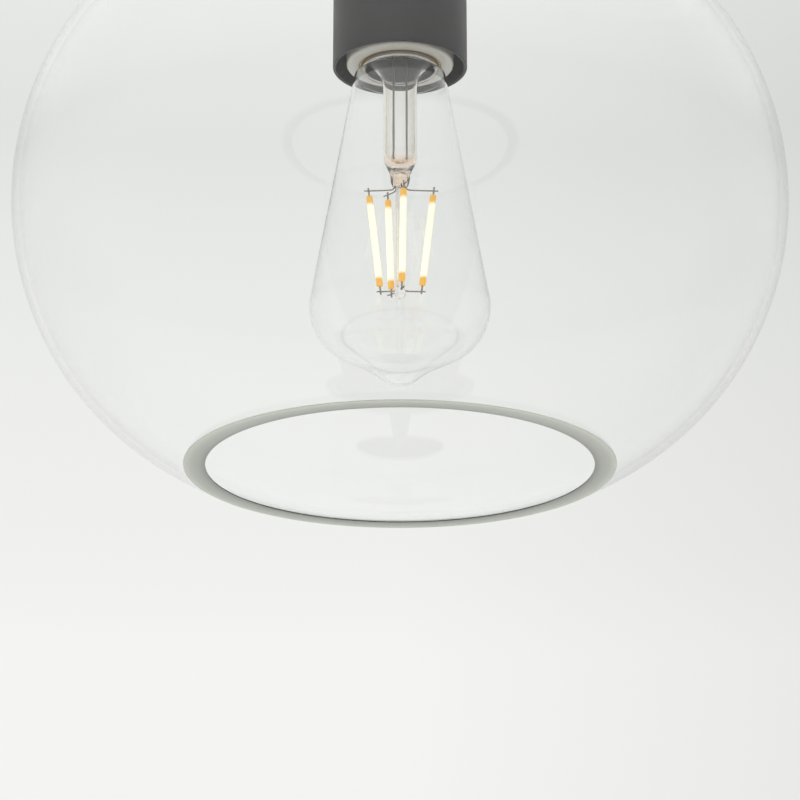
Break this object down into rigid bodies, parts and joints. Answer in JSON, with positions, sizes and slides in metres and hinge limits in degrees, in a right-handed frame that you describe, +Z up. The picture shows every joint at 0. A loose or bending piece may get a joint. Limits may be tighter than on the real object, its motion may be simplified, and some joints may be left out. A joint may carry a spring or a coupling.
{
  "type": "pendant ceiling light",
  "caption": "Rod-hung pendant light: clear oval glass globe with a wide flat-cut mouth, a filament lamp inside, and a tilting swivel under a round canopy.",
  "frame": {"origin": "Centre of the ceiling face, between the two outlet-box slots of the mounting strap; the light hangs below it.", "axes": "+Z up, the vertical line of the rod, globe and lamp; +X along the mounting strap, through both canopy nuts; the swivel tilts about +Y."},
  "size_m": [0.26, 0.26, 0.5734],
  "materials": {
    "black_metal": "satin",
    "zinc_steel": "satin",
    "spring_steel": "satin",
    "ground_green": "satin",
    "clear_glass": "polished",
    "bulb_glass": "polished",
    "stem_glass": "polished",
    "black_glass": "polished",
    "silicone": "matte",
    "porcelain": "glazed",
    "brass": "satin",
    "nickel": "polished",
    "solder": "satin",
    "phosphor": "matte",
    "nickel_wire": "satin",
    "board_green": "matte",
    "black_insulation": "gloss",
    "white_insulation": "gloss",
    "connector_orange": "matte"
  },
  "bodies": {
    "ceiling_set": {"mounting_strap": "zinc_steel", "ground_screw": "ground_green", "canopy_studs": "zinc_steel", "stud_lock_nuts": "zinc_steel", "canopy": "black_metal", "canopy_cap_nuts": "black_metal", "swivel_seat": "black_metal", "seat_tooth_washer": "zinc_steel", "seat_hex_nut": "zinc_steel", "hot_canopy_lead": "black_insulation", "neutral_canopy_lead": "white_insulation", "wire_connectors": "connector_orange"},
    "yoke": {"swivel_yoke": "black_metal", "yoke_clip": "spring_steel"},
    "hanging_set": {"swivel_knuckle": "black_metal", "pivot_screws": "black_metal", "knuckle_set_screw": "black_metal", "upper_rod": "black_metal", "lower_rod": "black_metal", "rod_nipple": "zinc_steel", "lamp_nipple": "zinc_steel", "glass_cover": "black_metal", "outer_gasket": "silicone", "glass_globe": "clear_glass", "inner_gasket": "silicone", "socket_cup": "black_metal", "holder_bracket": "zinc_steel", "nipple_lock_washer": "zinc_steel", "nipple_hex_nut": "zinc_steel", "bracket_screws": "zinc_steel", "terminal_screws": "brass", "holder_body": "porcelain", "screw_shell": "brass", "centre_contact": "brass", "hot_rod_lead": "black_insulation", "neutral_rod_lead": "white_insulation"},
    "lamp_end": {"cap_contact": "solder", "cap_insulator": "black_glass"},
    "lamp": {"lamp_cap": "nickel", "driver_board": "board_green", "bulb_envelope": "bulb_glass", "glass_stem": "stem_glass", "lead_in_wires": "nickel_wire", "upper_support_wires": "nickel_wire", "lower_support_wires": "nickel_wire", "filaments": "phosphor", "filament_tabs": "nickel_wire"}
  },
  "joints": [
    {"name": "swivel_turn", "type": "hinge", "parent": "ceiling_set", "child": "yoke", "pos_m": [0, 0, -0.028], "axis": [0, 0, 1], "range_deg": [-170, 170]},
    {"name": "rod_tilt", "type": "hinge", "parent": "yoke", "child": "hanging_set", "pos_m": [0, 0, -0.04725], "axis": [0, 1, 0], "range_deg": [-45, 45]},
    {"name": "lamp_advance", "type": "slide", "parent": "hanging_set", "child": "lamp_end", "axis": [0, 0, -1], "range_m": [0, 0.0205]},
    {"name": "lamp_turn", "type": "hinge", "parent": "lamp_end", "child": "lamp", "pos_m": [0, 0, -0.43], "axis": [0, 0, -1], "range_deg": [0, 2030]}
  ],
  "couplings": [
    {"joint": "lamp_advance", "follows": "lamp_turn", "m_per_rad": 0.0005775}
  ]
}
